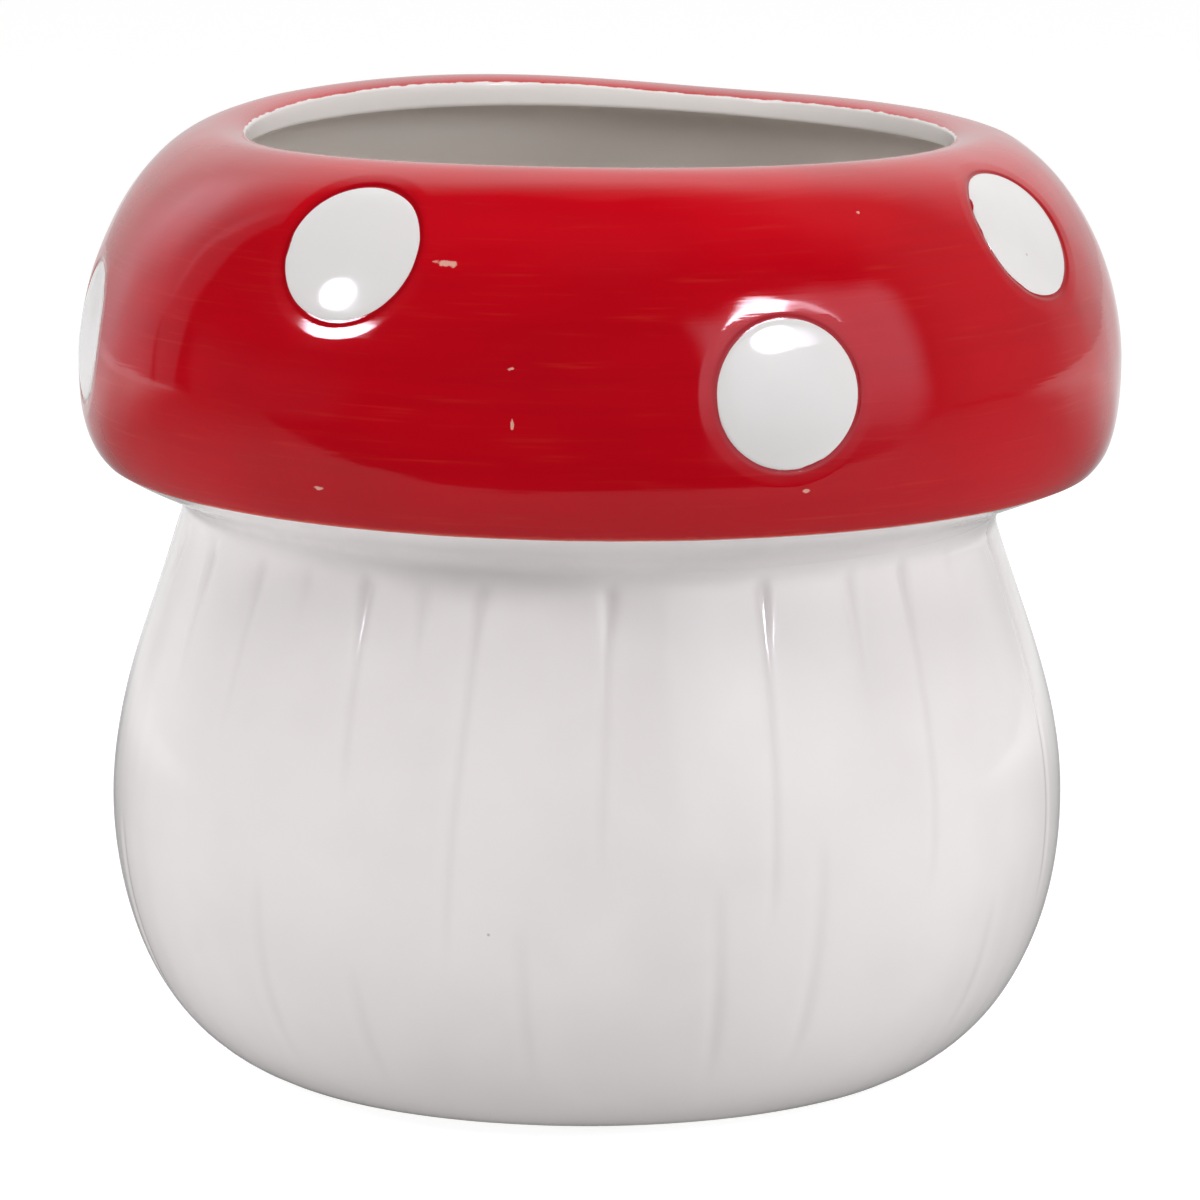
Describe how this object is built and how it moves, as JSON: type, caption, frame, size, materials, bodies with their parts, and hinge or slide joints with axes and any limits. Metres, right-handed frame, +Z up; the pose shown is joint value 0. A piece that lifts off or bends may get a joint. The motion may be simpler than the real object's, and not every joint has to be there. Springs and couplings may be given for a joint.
{
  "type": "mushroom planter",
  "caption": "Glazed ceramic mushroom planter: hollow red cap with raised white spots and an open wavy mouth, on a bulbous grooved white stem pot with a foot ring.",
  "frame": {"origin": "on the table under the middle of the cap; the stem's axis is 2 mm to its left", "axes": "+Z up through the mouth, +X to the right as seen from the front, the front faces -Y"},
  "size_m": [0.1604, 0.16, 0.1468],
  "materials": {
    "white_glaze": "glossy white glaze over a grooved cast body",
    "bare_clay": "unglazed fired clay",
    "underside_glaze": "glossy white glaze",
    "red_glaze": "deep glossy red glaze with brush marks and pinholes, pale glaze inside",
    "spot_glaze": "glossy white glaze on raised spots"
  },
  "bodies": {
    "root": {"stem": "white_glaze", "foot_ring": "bare_clay", "cap_underside": "underside_glaze", "cap_dome": "red_glaze", "spot_1": "spot_glaze", "spot_2": "spot_glaze", "spot_3": "spot_glaze", "spot_4": "spot_glaze", "spot_5": "spot_glaze", "spot_6": "spot_glaze", "spot_7": "spot_glaze", "spot_8": "spot_glaze"}
  },
  "joints": []
}
